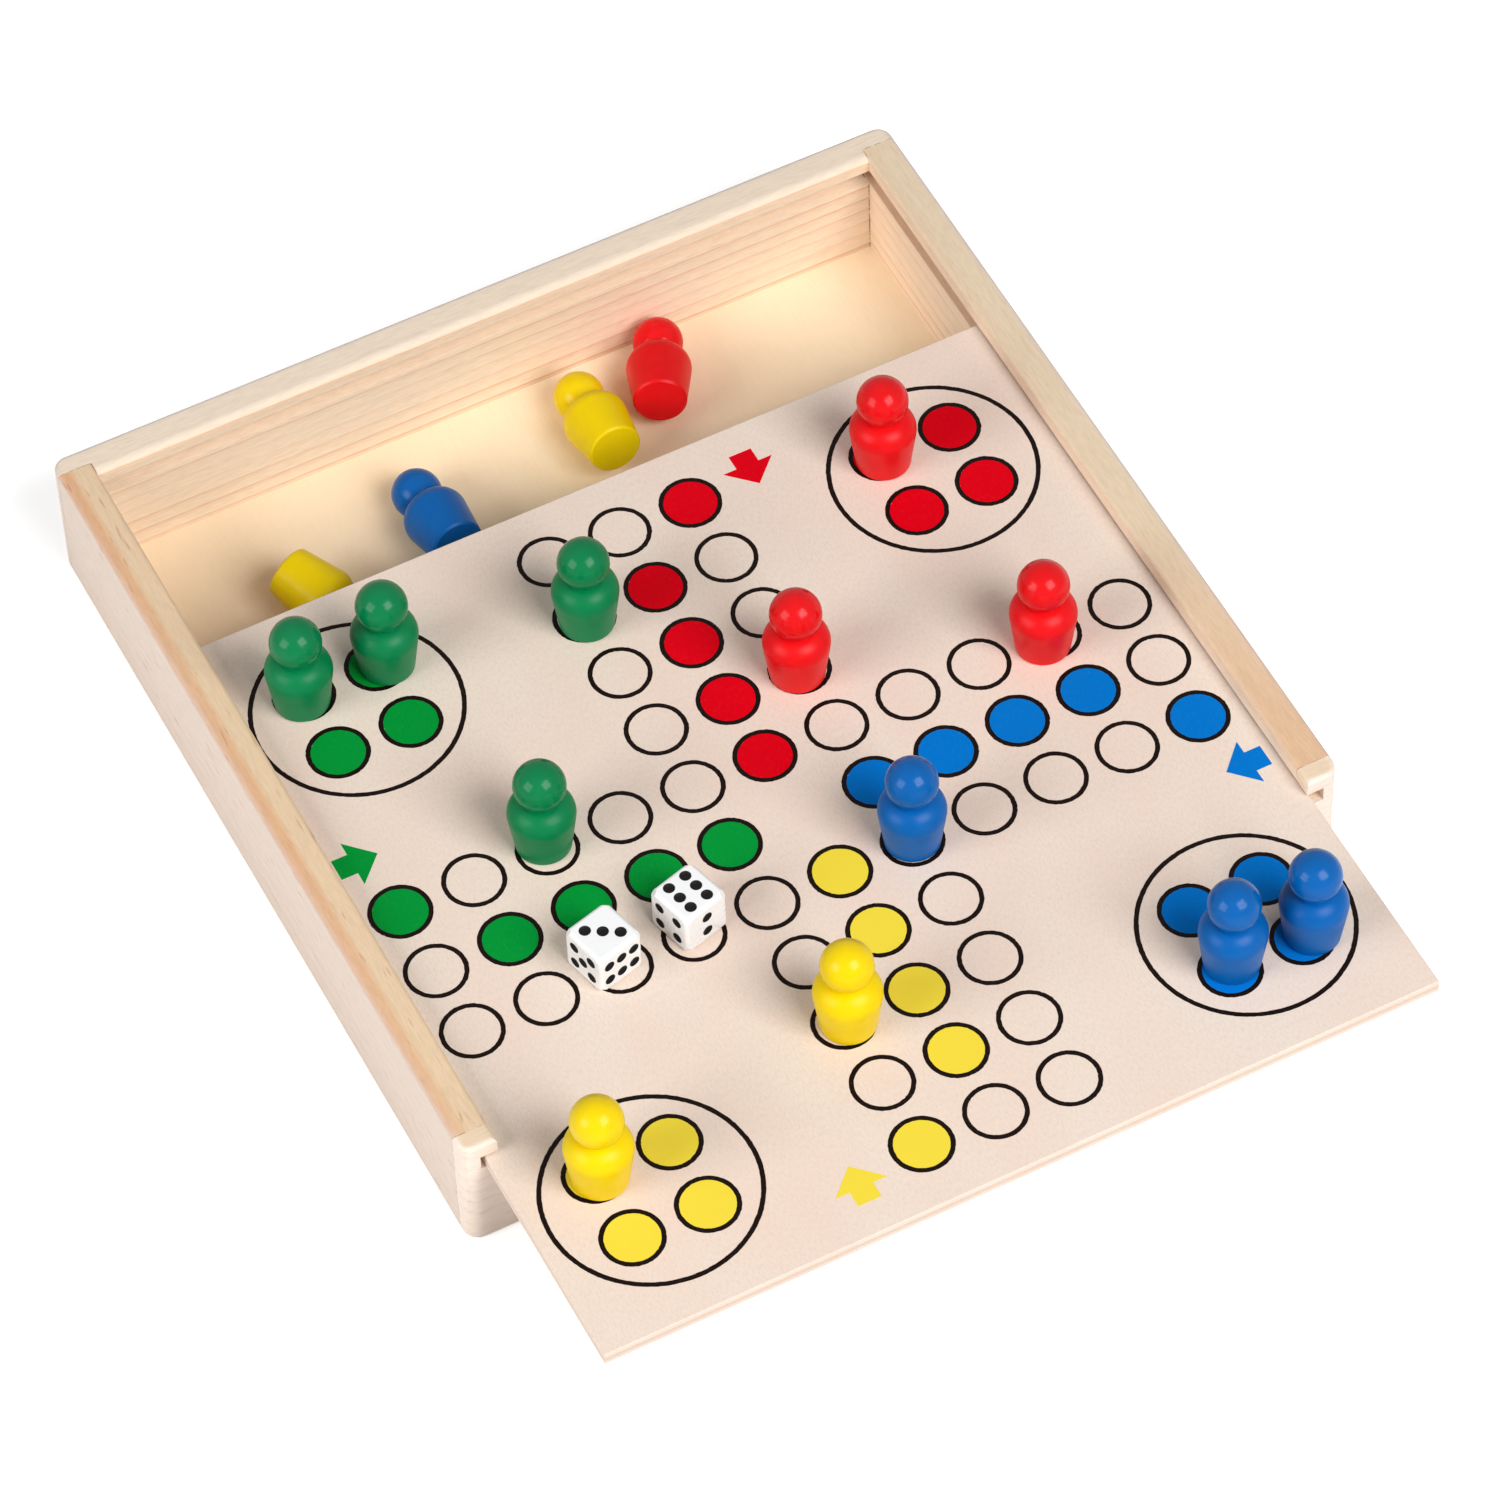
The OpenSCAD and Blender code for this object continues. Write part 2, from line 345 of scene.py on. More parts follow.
def pineMaterial(name, cut):
    # year rings cut lengthwise give streaks on a board's faces, and arcs on its ends;
    # the outer faces are painted paler and the inside warmer and brighter: painted light for how light falls
    # on them; the rings show less on the sanded outside and top
    material, tree = newMaterial(name)
    place = addNode(tree, "ShaderNodeTexCoord").outputs["Object"]
    board = addNode(tree, "ShaderNodeMapping", {
        "Vector": place, "Rotation": (0, 0, cut["turn"]), "Location": [v * mm for v in cut["start"]]})
    grain = addNode(tree, "ShaderNodeMapping", {"Vector": board, "Scale": (1, pine["along"], 1)})
    centred = addNode(tree, "ShaderNodeMapping", {"Vector": grain, "Location": [v * mm for v in cut["pith"]]})
    shortGrain = addNode(tree, "ShaderNodeMapping", {"Vector": board, "Scale": (1, pine["fibreAlong"], 1)})

    # where a point lies on the frame: outside, on top, or in the box
    axes = addNode(tree, "ShaderNodeSeparateXYZ", {0: place})
    across, deep = (
        addNode(tree, "ShaderNodeMath", {0: axes.outputs[i]}, operation="ABSOLUTE") for i in (0, 1))
    farther = addNode(tree, "ShaderNodeMath", {0: across, 1: deep}, operation="MAXIMUM")
    outside = addNode(tree, "ShaderNodeMapRange", {
        "Value": farther, "From Min": (pine["outerFace"] - pine["outerFade"][0]) * mm,
        "From Max": (pine["outerFace"] - pine["outerFade"][1]) * mm})
    onTop = addNode(tree, "ShaderNodeMapRange", {
        "Value": axes.outputs[2], "From Min": (pine["topFace"] - pine["topFade"][0]) * mm,
        "From Max": (pine["topFace"] - pine["topFade"][1]) * mm})

    # the year rings, strong in some places and faint in others
    rings = addNode(tree, "ShaderNodeTexWave", {
        "Vector": centred, "Scale": 2 * math.pi / (20 * pine["ringSpacing"] * mm),
        "Distortion": pine["ringWander"], "Detail": 2.0, "Detail Scale": 0.5,
    }, wave_type="RINGS", rings_direction="Y", wave_profile="SAW")
    late = addNode(tree, "ShaderNodeValToRGB", {0: rings.outputs["Fac"]}, stops=pine["ringShade"])
    clouds = addNode(tree, "ShaderNodeTexNoise", {
        "Vector": grain, "Scale": 1 / (pine["cloudSize"] * mm), "Detail": 3.0})
    strong = addNode(tree, "ShaderNodeMapRange", {
        "Value": clouds, "From Min": pine["cloudRange"][0], "From Max": pine["cloudRange"][1]})
    faceShare = grey(pine["lineShare"]["inside"])
    for where, face in ((onTop, "top"), (outside, "outside")):
        faceShare = addNode(tree, "ShaderNodeMixRGB", {
            "Fac": where, "Color1": faceShare, "Color2": grey(pine["lineShare"][face])})
    lines = late
    for part in (strong, faceShare):
        lines = addNode(tree, "ShaderNodeMath", {0: lines, 1: part}, operation="MULTIPLY")

    flecks = addNode(tree, "ShaderNodeTexNoise", {
        "Vector": shortGrain, "Scale": 1 / (pine["fleckWidth"] * mm), "Detail": 1.0})
    flecked = addNode(tree, "ShaderNodeMapRange", {
        "Value": flecks, "From Min": pine["fleckRange"][0], "From Max": pine["fleckRange"][1],
        "To Max": cut["flecks"]})
    fibres = addNode(tree, "ShaderNodeTexNoise", {
        "Vector": shortGrain, "Scale": 1 / (pine["fibreWidth"] * mm), "Detail": 3.0, "Roughness": 0.6})
    fibreTone = addNode(tree, "ShaderNodeValToRGB", {0: fibres}, stops=pine["fibreShade"])

    # one colour over the other, from the inside's painted-light tone to the glue and painted shadow of the
    # joints
    layers = [(onTop, cut["top"]), (outside, cut["outside"]), (lines, pine["line"])]
    if cut["streak"]:
        layers.append((warmStreak(tree, cut, board, axes, (onTop, strong)), pine["line"]))
    layers.append((flecked, pine["fleck"]))
    # the base is the inside's tone, brightened and warmed as painted light
    shade = pine["inside"]
    for amount, colour in layers:
        shade = addNode(tree, "ShaderNodeMixRGB", {"Fac": amount, "Color1": shade, "Color2": colour})
    shade = addNode(tree, "ShaderNodeMixRGB", {
        "Fac": 1.0, "Color1": shade, "Color2": fibreTone}, blend_type="MULTIPLY")
    # the joint line is glue with painted shadow in the joints' gaps
    glueAndShadowShare = glueAndShadowLine(tree, cut, place, across, deep, axes.outputs[2])
    shade = addNode(tree, "ShaderNodeMixRGB", {"Fac": glueAndShadowShare, "Color1": shade, "Color2": pine["glueAndShadowTone"]})

    bump = addNode(tree, "ShaderNodeBump", {
        "Height": fibres, "Distance": pine["fibreDepth"] * mm, "Strength": 0.8})
    surface = addNode(tree, "ShaderNodeBsdfPrincipled", {
        "Base Color": shade, "Roughness": pine["roughness"], "Specular IOR Level": pine["specular"],
        "Normal": bump})
    addNode(tree, "ShaderNodeOutputMaterial", {"Surface": surface})
    return material


def veneerMaterial(name, veneer, node):
    # a peeled veneer has no rings, only clouds of tone and short flecks along its fibres
    material, tree = newMaterial(name)
    place = addNode(tree, "ShaderNodeTexCoord").outputs["Object"]
    grain = addNode(tree, "ShaderNodeMapping", {"Vector": place, "Scale": (1, veneer["along"], 1)})
    clouds = addNode(tree, "ShaderNodeTexNoise", {
        "Vector": grain, "Scale": 1 / (veneer["cloudSize"] * mm), "Detail": 3.0})
    flecks = addNode(tree, "ShaderNodeTexNoise", {
        "Vector": grain, "Scale": 1 / (veneer["fleckWidth"] * mm), "Detail": 3.0, "Roughness": 0.65})
    cloudy = addNode(tree, "ShaderNodeMapRange", {
        "Value": clouds, "From Min": peeled["cloudRange"][0], "From Max": peeled["cloudRange"][1]})
    flecked = addNode(tree, "ShaderNodeMapRange", {
        "Value": flecks, "From Min": peeled["fleckRange"][0], "From Max": peeled["fleckRange"][1],
        "To Max": veneer["fleckShare"]})

    # the middle one of the three plies
    height = addNode(tree, "ShaderNodeSeparateXYZ", {0: place}).outputs[2]
    low, high = (corner.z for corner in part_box(node))
    ply = (high - low) / 3
    off = addNode(tree, "ShaderNodeMath", {0: height, 1: (low + high) / 2}, operation="SUBTRACT")
    off = addNode(tree, "ShaderNodeMath", {0: off}, operation="ABSOLUTE")
    inCore = addNode(tree, "ShaderNodeMapRange", {
        "Value": off, "From Min": peeled["coreFade"][0] * ply, "From Max": peeled["coreFade"][1] * ply,
        "To Max": peeled["coreShare"]})

    shade = veneer["pale"]
    for amount, tone in ((cloudy, "blush"), (flecked, "dark"), (inCore, "core")):
        shade = addNode(tree, "ShaderNodeMixRGB", {"Fac": amount, "Color1": shade, "Color2": veneer[tone]})
    bump = addNode(tree, "ShaderNodeBump", {
        "Height": flecks, "Distance": veneer["fibreDepth"] * mm, "Strength": 0.7})
    surface = addNode(tree, "ShaderNodeBsdfPrincipled", {
        "Base Color": shade, "Roughness": veneer["roughness"], "Specular IOR Level": peeled["specular"],
        "Normal": bump})
    addNode(tree, "ShaderNodeOutputMaterial", {"Surface": surface})
    return material


print("wooden box and lid")
for name, cut in boardCuts.items():
    nodes[name].material_slots[0].material = pineMaterial("pineWithPaintedLight." + name, cut)
nodes["bottom_panel"].material_slots[0].material = veneerMaterial("bottomPlywood", bottomPly, "bottom_panel")
nodes["lid_board"].material_slots[0].material = veneerMaterial("birchPlywood", birch, "lid_board")


# the printed board on the lid

board = {                    # mm
    "right": 0.4,            # the print's middle from the lid's middle
    "step": 15.0,
    "ringRadius": 5.62,      # to the middle of the line
    "lineWidth": 0.92,
    "spotRadius": 5.3,
    "colourShift": (0.09, -0.07),    # the colours were printed a little beside the lines
    "homeRadius": 20.0,
    "homePlace": {"red": (3.97, 4.03), "blue": (3.97, -4.03), "yellow": (-4.13, -4.06), "green": (-4.13, 4.05)},
    "startPlace": {"red": (1, 5), "blue": (5, -1), "yellow": (-1, -5), "green": (-5, 1)},
    "homeRun": {"red": (0, 1), "blue": (1, 0), "yellow": (0, -1), "green": (-1, 0)},
    "arrowTip": {"red": (28.8, 73.0), "blue": (73.3, -28.7), "yellow": (-28.8, -73.0), "green": (-73.0, 28.9)},
    "arrowTurn": {"red": 180, "blue": 90, "yellow": 0, "green": -90},
    "arrowLength": 8.4,
    "headLength": 5.1,
    "headWidth": 10.4,
    "tailWidth": 4.7,
    "colourDepth": 0.02,     # how far the coloured ink stands above the wood
    "lineDepth": 0.035,
    "fray": 0.07,            # how far the ink's edge wanders
    "sides": {"ring": 72, "spot": 64, "home": 200},
    "seeds": {"ring": (1, 2, 3), "spot": (4, 5), "home": 6, "draw": 7},
    "anyTurn": (0, 6.28),    # radians, so that no two copies fray alike
}

inks = {
    "black": "150B08",
    "red": "D90016",
    "green": "008F35",
    "blue": "0072C8",
    "yellow": "EDD540",
}

inkFilm = {
    "fibreRange": (0.55, 0.8),
    "fibreShow": 0.025,      # how much of the wood's dark fibres comes through
    "roughness": 0.5,
    "specular": 0.06,
}


def inkMaterial(name, colour):
    # screen-printed ink: flat and thin, so the veneer's fibres show through it a little
    material, tree = newMaterial(name)
    place = addNode(tree, "ShaderNodeTexCoord").outputs["Object"]
    grain = addNode(tree, "ShaderNodeMapping", {"Vector": place, "Scale": (1, birch["along"], 1)})
    fibres = addNode(tree, "ShaderNodeTexNoise", {
        "Vector": grain, "Scale": 1 / (birch["fleckWidth"] * mm), "Detail": 3.0, "Roughness": 0.65})
    thin = addNode(tree, "ShaderNodeMapRange", {
        "Value": fibres, "From Min": inkFilm["fibreRange"][0], "From Max": inkFilm["fibreRange"][1],
        "To Max": inkFilm["fibreShow"]})
    shade = addNode(tree, "ShaderNodeMixRGB", {"Fac": thin, "Color1": colour, "Color2": birch["dark"]})
    bump = addNode(tree, "ShaderNodeBump", {
        "Height": fibres, "Distance": birch["fibreDepth"] * mm, "Strength": 0.5})
    surface = addNode(tree, "ShaderNodeBsdfPrincipled", {
        "Base Color": shade, "Roughness": inkFilm["roughness"], "Specular IOR Level": inkFilm["specular"],
        "Normal": bump})
    addNode(tree, "ShaderNodeOutputMaterial", {"Surface": surface})
    return material


def frayEdge(seed):
    # the ink's edge frays by the width of a fibre, and stays flat
    bpy.ops.mesh.select_all(action="SELECT")
    bpy.ops.transform.vertex_random(offset=board["fray"] * mm, seed=seed)
    bpy.ops.transform.resize(value=(1, 1, 0), center_override=(0, 0, 0))
    bpy.ops.object.mode_set(mode="OBJECT")


def inkRing(radius, sides, seed):
    inner, outer = radius - board["lineWidth"] / 2, radius + board["lineWidth"] / 2
    bpy.ops.mesh.primitive_circle_add(vertices=sides, radius=inner * mm)
    ring = named("inkRing")
    bpy.ops.object.mode_set(mode="EDIT")
    bpy.ops.mesh.select_all(action="SELECT")
    bpy.ops.mesh.extrude_edges_move()
    bpy.ops.transform.resize(value=(outer / inner, outer / inner, 1), center_override=(0, 0, 0))
    frayEdge(seed)
    modify(ring, "SOLIDIFY", thickness=board["lineDepth"] * mm, offset=0)
    return ring


def inkSpot(radius, sides, seed):
    bpy.ops.mesh.primitive_circle_add(vertices=sides, radius=radius * mm, fill_type="NGON")
    spot = named("inkSpot")
    bpy.ops.object.mode_set(mode="EDIT")
    frayEdge(seed)
    modify(spot, "SOLIDIFY", thickness=board["colourDepth"] * mm, offset=0)
    return spot


def inkArrow():
    # the tail is a plain bar, and its front edge is widened and then drawn to the tip
    tailLength = board["arrowLength"] - board["headLength"]
    bpy.ops.mesh.primitive_plane_add(size=1 * mm)
    arrow = named("inkArrow")
    bpy.ops.object.mode_set(mode="EDIT")
    bpy.ops.mesh.select_all(action="SELECT")
    bpy.ops.transform.resize(value=(board["tailWidth"], tailLength, 1))
    bpy.ops.transform.translate(value=(0, -(board["headLength"] + tailLength / 2) * mm, 0))
    bpy.ops.mesh.select_all(action="DESELECT")
    bpy.ops.object.mode_set(mode="OBJECT")
    front = max(v.co.y for v in arrow.data.vertices)
    for edge in arrow.data.edges:
        edge.select = all(abs(arrow.data.vertices[i].co.y - front) < 0.001 * mm for i in edge.vertices)
    bpy.ops.object.mode_set(mode="EDIT")
    bpy.ops.mesh.select_mode(type="EDGE")
    bpy.ops.mesh.extrude_edges_move()
    bpy.ops.transform.resize(value=(board["headWidth"] / board["tailWidth"], 1, 1))
    bpy.ops.mesh.extrude_edges_move(TRANSFORM_OT_translate={"value": (0, board["headLength"] * mm, 0)})
    bpy.ops.mesh.merge(type="CENTER")
    bpy.ops.mesh.select_all(action="SELECT")
    bpy.ops.mesh.dissolve_limited()
    bpy.ops.object.mode_set(mode="OBJECT")
    modify(arrow, "SOLIDIFY", thickness=board["colourDepth"] * mm, offset=0)
    return arrow


def onLid(place, depth, turn=0.0):
    # place in mm from the board's centre; the ink lies on the lid's top
    low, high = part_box("lid_board")
    middle = (low + high) / 2
    return Matrix.Translation((
        middle.x + (board["right"] + place[0]) * mm, middle.y + place[1] * mm, high.z + depth * mm / 2,
    )) @ Matrix.Rotation(turn, 4, "Z")


def fourRound(x, y):
    # a home's four fields, in board steps
    return [(x + i, y + j) for i in (-0.5, 0.5) for j in (-0.5, 0.5)]


def printBoard():
    sides, seeds = board["sides"], board["seeds"]
    draw = random.Random(seeds["draw"])
    rings = [inkRing(board["ringRadius"], sides["ring"], seed) for seed in seeds["ring"]]
    spots = [inkSpot(board["spotRadius"], sides["spot"], seed) for seed in seeds["spot"]]
    homeRing = inkRing(board["homeRadius"], sides["home"], seeds["home"])
    arrow = inkArrow()

    def placed(source, x, y, depth, shift=(0, 0)):
        place = (x * board["step"] + shift[0], y * board["step"] + shift[1])
        return copyAt(source, onLid(place, board[depth], draw.uniform(*board["anyTurn"])))

    # the cross of fields with its middle left open, and then the homes
    fields = [(x, y) for x in range(-5, 6) for y in range(-5, 6)
              if min(abs(x), abs(y)) <= 1 and (x, y) != (0, 0)]
    for x, y in board["homePlace"].values():
        fields += fourRound(x, y)
    lines = [placed(draw.choice(rings), x, y, "lineDepth") for x, y in fields]
    lines += [placed(homeRing, x, y, "lineDepth") for x, y in board["homePlace"].values()]

    printed = {"black": lines}
    for colour, home in board["homePlace"].items():
        runX, runY = board["homeRun"][colour]
        filled = [board["startPlace"][colour], *((runX * i, runY * i) for i in range(1, 5)), *fourRound(*home)]
        printed[colour] = [
            placed(draw.choice(spots), x, y, "colourDepth", board["colourShift"]) for x, y in filled]
        tip, turn = board["arrowTip"][colour], math.radians(board["arrowTurn"][colour])
        printed[colour].append(copyAt(arrow, onLid(tip, board["colourDepth"], turn)))

    for source in (*rings, *spots, homeRing, arrow):
        bpy.data.objects.remove(source)
    for colour, parts in printed.items():
        piece = joined("board_print_" + colour, parts)
        piece.data.materials.clear()
        piece.data.materials.append(inkMaterial(colour + "Ink", inks[colour]))
        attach(piece, "lid")


print("printed board")
printBoard()


# the turned pawns

pawn = {                     # mm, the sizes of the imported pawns
    "footRadius": 5.3,
    "footChamfer": 0.4,
    "shoulderRadius": 6.45,
    "shoulderHeight": 9.6,
    "shoulderRound": 4.0,
    "neckRadius": 3.25,
    "headRadius": 5.0,
    "headHeight": 17.8,
    "arcSteps": 14,
    "turnSteps": 64,
    "creaseAngle": 32,       # degrees, above which an edge stays sharp
}

paints = {
    "green": "007644",
    "red": "DC0E14",
    "blue": "005AA4",
    "yellow": "E9C900",
}

coat = {
    "toolSpacing": 0.5,      # mm between two marks of the turning tool
    "toolDepth": 0.008,      # mm
    "patchSize": 3.5,        # mm
    "patchRange": (0.35, 0.8),
    "patchShare": 0.3,
    "paler": (1.25, 0.01),   # a thin patch's colour, times the first and plus the second
    "patternShift": 40,      # mm between two pawns' patterns
    "bodyRoughness": 0.36,
    "headRoughness": 0.17,   # the coat is thickest and glossiest on the head
    "glossRange": (12.5, 14.5),      # mm up the pawn
    "specular": 0.14,
}

lyingPawns = {               # head's x, gap from the head to the back board, heading in degrees
    "pawn_red_4": (32.8, 0.9, 65.0),
    "pawn_blue_4": (-25.4, 12.7, 92.0),
    "pawn_yellow_3": (13.0, 5.9, 88.0),
    "pawn_yellow_4": (-49.2, 36.0, -65.5),
}
lyingRoom = {"wallInside": 83.0, "bottomTop": 3.0, "gap": 0.1}    # mm


def paintMaterial(name, colour):
    # glossy paint dipped over turned beech: tool marks round the piece, and a slightly uneven coat
    material, tree = newMaterial(name)
    place = addNode(tree, "ShaderNodeAttribute", attribute_name="turned").outputs["Vector"]
    marks = addNode(tree, "ShaderNodeTexWave", {
        "Vector": place, "Scale": 2 * math.pi / (20 * coat["toolSpacing"] * mm),
        "Distortion": 1.5, "Detail": 2.0, "Detail Scale": 2.0}, wave_type="BANDS", bands_direction="Z")
    patches = addNode(tree, "ShaderNodeTexNoise", {
        "Vector": place, "Scale": 1 / (coat["patchSize"] * mm), "Detail": 3.0})
    thin = addNode(tree, "ShaderNodeMapRange", {
        "Value": patches, "From Min": coat["patchRange"][0], "From Max": coat["patchRange"][1],
        "To Max": coat["patchShare"]})
    times, plus = coat["paler"]
    paler = [min(1.0, times * c + plus) for c in linearColour(colour)[:3]] + [1.0]
    shade = addNode(tree, "ShaderNodeMixRGB", {"Fac": thin, "Color1": colour, "Color2": paler})
    bump = addNode(tree, "ShaderNodeBump", {
        "Height": marks.outputs["Fac"], "Distance": coat["toolDepth"] * mm, "Strength": 0.5})
    height = addNode(tree, "ShaderNodeSeparateXYZ", {0: place}).outputs[2]
    gloss = addNode(tree, "ShaderNodeMapRange", {
        "Value": height, "From Min": coat["glossRange"][0] * mm, "From Max": coat["glossRange"][1] * mm,
        "To Min": coat["bodyRoughness"], "To Max": coat["headRoughness"]})
    surface = addNode(tree, "ShaderNodeBsdfPrincipled", {
        "Base Color": shade, "Roughness": gloss, "Specular IOR Level": coat["specular"], "Normal": bump})
    addNode(tree, "ShaderNodeOutputMaterial", {"Surface": surface})
    return material


def arc(centre, radius, start, end):
    steps = pawn["arcSteps"]
    turns = [start + (end - start) * i / steps for i in range(steps + 1)]
    return [(centre[0] + radius * math.cos(turn), centre[1] + radius * math.sin(turn)) for turn in turns]


def pawnOutline():
    # from the foot's centre over the chamfer, the straight flank, the shoulder and the head to the crown
    rounding, ringRadius = pawn["shoulderRound"], pawn["shoulderRadius"] - pawn["shoulderRound"]
    reach = Vector((pawn["footRadius"] - ringRadius, pawn["footChamfer"] - pawn["shoulderHeight"]))
    flank = math.atan2(reach.y, reach.x) + math.acos(rounding / reach.length)
    shoulderEnd = math.acos((pawn["neckRadius"] - ringRadius) / rounding)
    headStart = -math.acos(pawn["neckRadius"] / pawn["headRadius"])
    outline = [(0, 0), (pawn["footRadius"] - pawn["footChamfer"], 0), (pawn["footRadius"], pawn["footChamfer"])]
    outline += arc((ringRadius, pawn["shoulderHeight"]), rounding, flank, shoulderEnd)
    outline += arc((0, pawn["headHeight"]), pawn["headRadius"], headStart, math.pi / 2)
    return [Vector((x * mm, 0, z * mm)) for x, z in outline]


def turnedPawn():
    # the outline is drawn edge by edge from one point, and turned once round
    outline = pawnOutline()
    bpy.ops.mesh.primitive_plane_add(size=1 * mm)
    piece = named("turnedPawn")
    bpy.ops.object.mode_set(mode="EDIT")
    bpy.ops.mesh.select_mode(type="VERT")
    bpy.ops.mesh.select_all(action="SELECT")
    bpy.ops.mesh.merge(type="CENTER")
    for here, there in zip(outline, outline[1:]):
        bpy.ops.mesh.extrude_vertices_move(TRANSFORM_OT_translate={"value": there - here})
    bpy.ops.mesh.select_all(action="SELECT")
    bpy.ops.mesh.spin(steps=pawn["turnSteps"], angle=2 * math.pi, center=(0, 0, 0), axis=(0, 0, 1))
    bpy.ops.mesh.select_all(action="SELECT")
    bpy.ops.mesh.remove_doubles(threshold=0.001 * mm)
    bpy.ops.mesh.normals_make_consistent(inside=False)
    bpy.ops.object.mode_set(mode="OBJECT")
    bpy.ops.object.shade_smooth_by_angle(angle=math.radians(pawn["creaseAngle"]))
    return piece


def standingPlace(node):
    low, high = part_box(node)
    return Matrix.Translation(((low.x + high.x) / 2, (low.y + high.y) / 2, low.z))


def lyingPlace(headX, gap, heading):
    # a lying pawn rests on its shoulder and its head, with its foot in the air
    sink, span = pawn["shoulderRadius"] - pawn["shoulderRound"], pawn["headHeight"] - pawn["shoulderHeight"]
    bigger = pawn["headRadius"] - pawn["shoulderRound"]
    tilt = math.atan2(sink, span) - math.asin(bigger / math.hypot(sink, span))
    head = (headX, lyingRoom["wallInside"] - gap - pawn["headRadius"],
            lyingRoom["bottomTop"] + lyingRoom["gap"] + pawn["headRadius"])
    return (Matrix.Translation([v * mm for v in head])
            @ Euler((0, math.pi / 2 + tilt, math.radians(heading))).to_matrix().to_4x4()
            @ Matrix.Translation((0, 0, -pawn["headHeight"] * mm)))


def setPawns():
    source = turnedPawn()
    painted = {colour: paintMaterial(colour + "GlossPaint", paints[colour]) for colour in paints}
    names = sorted(name for name in nodes if name.startswith("pawn_"))
    for number, name in enumerate(names):
        colour = name.split("_")[1]
        place = lyingPlace(*lyingPawns[name]) if name in lyingPawns else standingPlace(name)
        piece = copyAt(source, place)
        piece.name = piece.data.name = "turned_" + name
        # the paint's pattern keeps to the piece, and differs from pawn to pawn
        pattern = piece.data.attributes.new("turned", "FLOAT_VECTOR", "POINT")
        for vertex, entry in zip(source.data.vertices, pattern.data):
            entry.vector = vertex.co + Vector((number * coat["patternShift"] * mm, 0, 0))
        piece.data.materials.append(painted[colour])
        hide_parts(name)
        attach(piece, name)
    bpy.data.objects.remove(source)


print("pawns")
setPawns()


# the dice

die = {                      # mm
    "size": 10.0,
    "pipRadius": 1.1,
    "pipDepth": 0.35,
    "pipStep": 2.9,          # along the rows of the six
    "pipRowGap": 4.0,        # between the rows of the six, and between the two
    "pipCorner": 2.3,        # from the middle to the corner pips, in x and in y
    "paintDepth": 0.03,
    "creaseAngle": 40,       # degrees
    "turns": {"die_1": (14.6, (0, 0, 0)), "die_2": (15.6, (-90, 0, -90))},    # degrees: spin, and roll
    "faces": {3: (0, 0, 0), 4: (180, 0, 0), 6: (90, 0, 0), 1: (-90, 0, 0), 5: (0, -90, 0), 2: (0, 90, 0)},
}

plastic = {
    "tones": ("F4F4F3", "EDEEF0"),
    "patchSize": 1.8,        # mm
    "patchRange": (0.3, 0.7),
    "roughness": (0.22, 0.34),
    "refraction": 1.49,
}

enamel = {
    "tones": ("050505", "11100F"),
    "patchSize": 0.6,        # mm
    "roughness": 0.5,
    "specular": 0.15,
}


def plasticMaterial():
    # moulded white plastic with a satin gloss, faintly uneven where it was tumbled smooth
    material, tree = newMaterial("mouldedPlastic")
    place = addNode(tree, "ShaderNodeTexCoord").outputs["Object"]
    tumbled = addNode(tree, "ShaderNodeTexNoise", {
        "Vector": place, "Scale": 1 / (plastic["patchSize"] * mm), "Detail": 2.0})
    gloss = addNode(tree, "ShaderNodeMapRange", {
        "Value": tumbled, "From Min": plastic["patchRange"][0], "From Max": plastic["patchRange"][1],
        "To Min": plastic["roughness"][0], "To Max": plastic["roughness"][1]})
    shade = addNode(tree, "ShaderNodeMixRGB", {
        "Fac": tumbled, "Color1": plastic["tones"][0], "Color2": plastic["tones"][1]})
    surface = addNode(tree, "ShaderNodeBsdfPrincipled", {
        "Base Color": shade, "Roughness": gloss, "IOR": plastic["refraction"]})
    addNode(tree, "ShaderNodeOutputMaterial", {"Surface": surface})
    return material


def pipMaterial():
    # black enamel pooled in the pips
    material, tree = newMaterial("pipEnamel")
    place = addNode(tree, "ShaderNodeTexCoord").outputs["Object"]
    pooled = addNode(tree, "ShaderNodeTexNoise", {
        "Vector": place, "Scale": 1 / (enamel["patchSize"] * mm), "Detail": 1.0})
    shade = addNode(tree, "ShaderNodeMixRGB", {
        "Fac": pooled, "Color1": enamel["tones"][0], "Color2": enamel["tones"][1]})
    surface = addNode(tree, "ShaderNodeBsdfPrincipled", {
        "Base Color": shade, "Roughness": enamel["roughness"], "Specular IOR Level": enamel["specular"]})
    addNode(tree, "ShaderNodeOutputMaterial", {"Surface": surface})
    return material


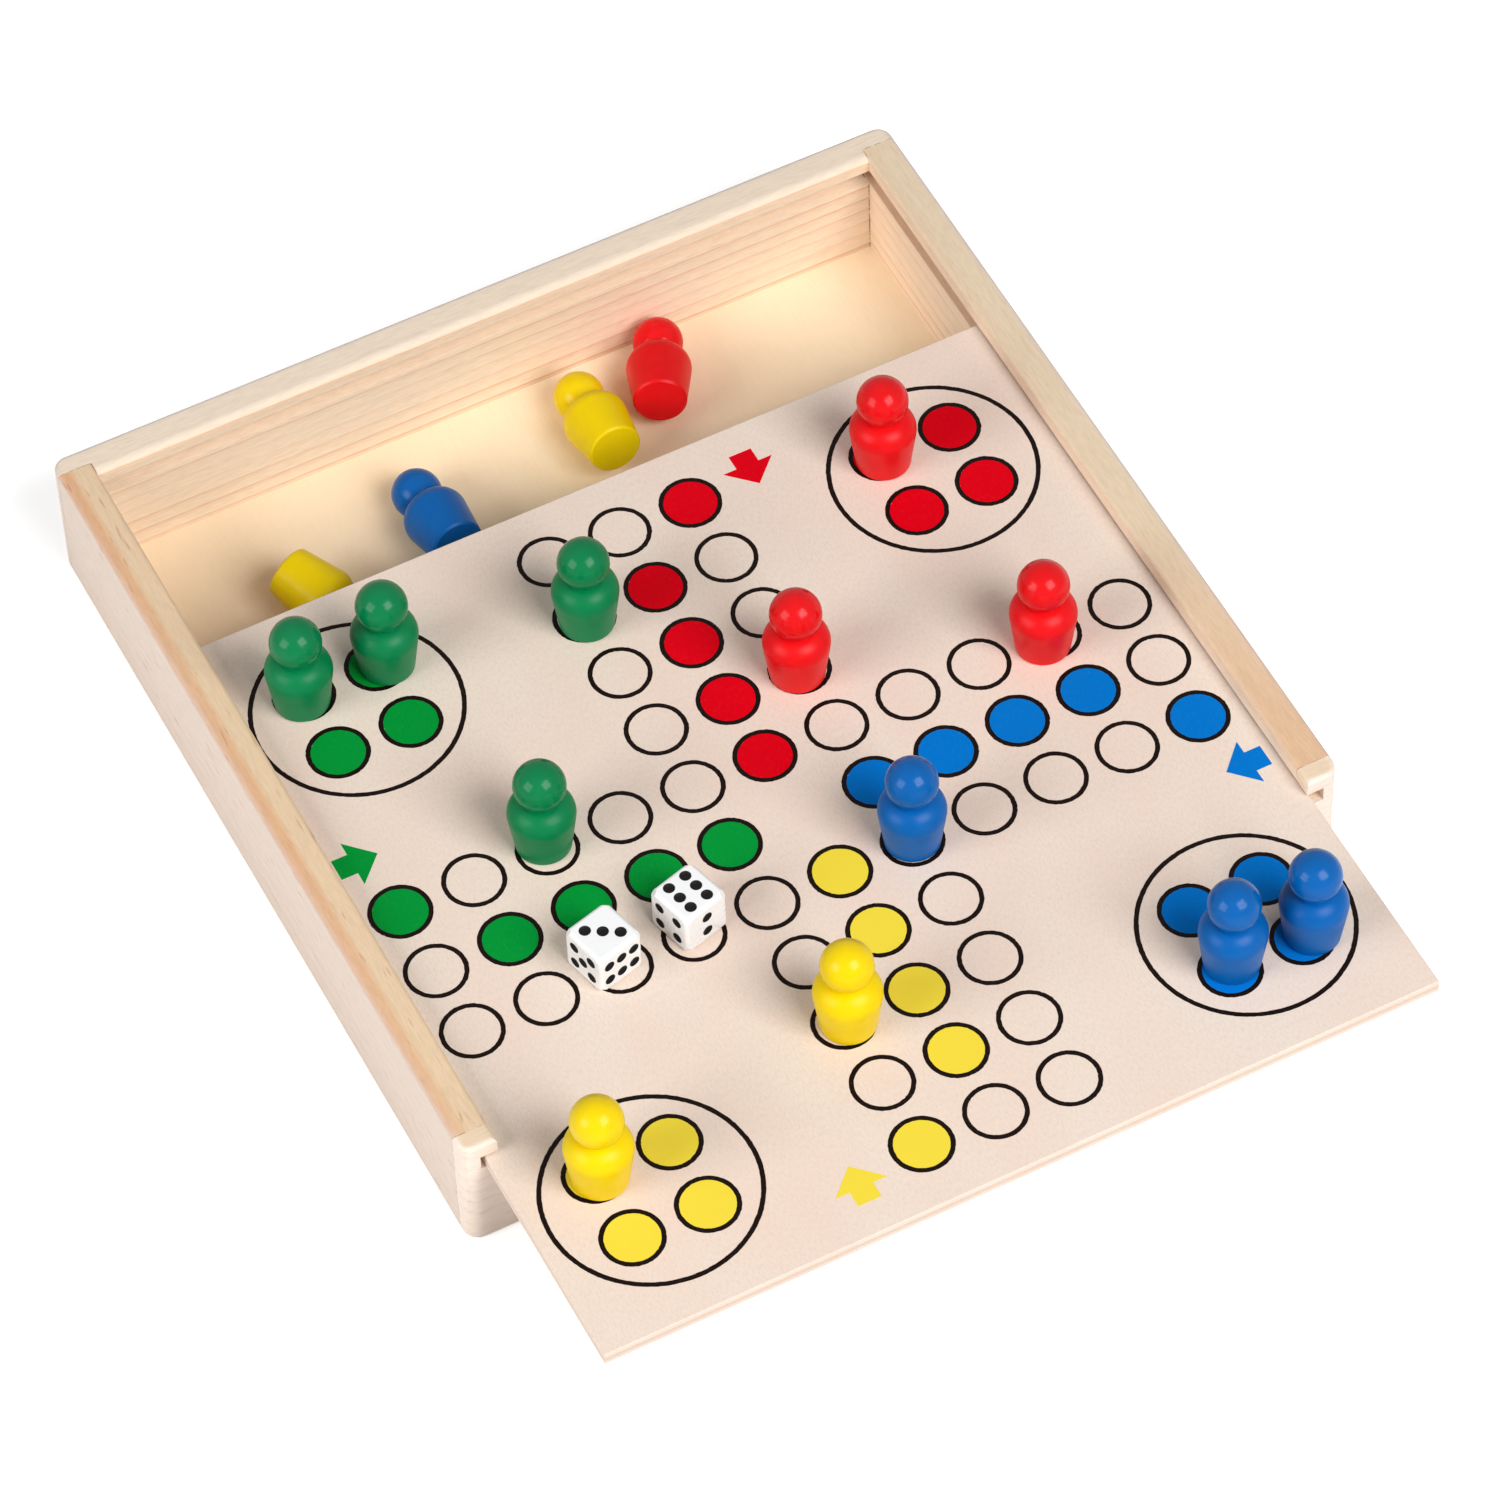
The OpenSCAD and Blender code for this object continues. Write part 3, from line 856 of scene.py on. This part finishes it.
def pipPlaces(count):
    step, row, corner = die["pipStep"], die["pipRowGap"] / 2, die["pipCorner"]
    if count == 6:
        return [(x * step, y * row) for x in (-1, 0, 1) for y in (-1, 1)]
    if count == 2:
        return [(0, -row), (0, row)]
    places = [(0, 0)] if count % 2 else []
    places += [(-corner, corner), (corner, -corner)] if count >= 3 else []
    return places + ([(-corner, -corner), (corner, corner)] if count >= 4 else [])


def pipCup():
    # the bottom of a ball, cut off level with the die's face and given a coat's thickness
    radius = (die["pipRadius"] ** 2 + die["pipDepth"] ** 2) / (2 * die["pipDepth"])
    rise = die["size"] / 2 - die["pipDepth"] + radius
    bpy.ops.mesh.primitive_uv_sphere_add(segments=32, ring_count=64, radius=(radius - die["paintDepth"]) * mm)
    cup = named("pipCup")
    bpy.ops.object.mode_set(mode="EDIT")
    bpy.ops.mesh.select_all(action="SELECT")
    bpy.ops.mesh.bisect(plane_co=(0, 0, (die["size"] / 2 - rise) * mm), plane_no=(0, 0, 1), clear_outer=True)
    bpy.ops.mesh.select_all(action="SELECT")
    bpy.ops.mesh.flip_normals()
    bpy.ops.transform.translate(value=(0, 0, rise * mm))
    bpy.ops.object.mode_set(mode="OBJECT")
    modify(cup, "SOLIDIFY", thickness=die["paintDepth"] * 0.5 * mm, offset=-1)
    bpy.ops.object.shade_smooth_by_angle(angle=math.radians(die["creaseAngle"]))
    return cup


def setDice():
    white, black = plasticMaterial(), pipMaterial()
    cup = pipCup()
    for name, (spin, roll) in die["turns"].items():
        nodes[name].material_slots[0].material = white
        low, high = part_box(name)
        place = Matrix.Translation((low + high) / 2) @ Matrix.Rotation(math.radians(spin), 4, "Z") @ turned(roll)
        cups = []
        for count, turn in die["faces"].items():
            face = place @ turned(turn)
            for x, y in pipPlaces(count):
                cups.append(copyAt(cup, face @ Matrix.Translation((x * mm, y * mm, 0))))
        piece = joined(name + "_pips", cups)
        piece.data.materials.append(black)
        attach(piece, name)
    bpy.data.objects.remove(cup)


print("dice")
setDice()

print("all pieces made")
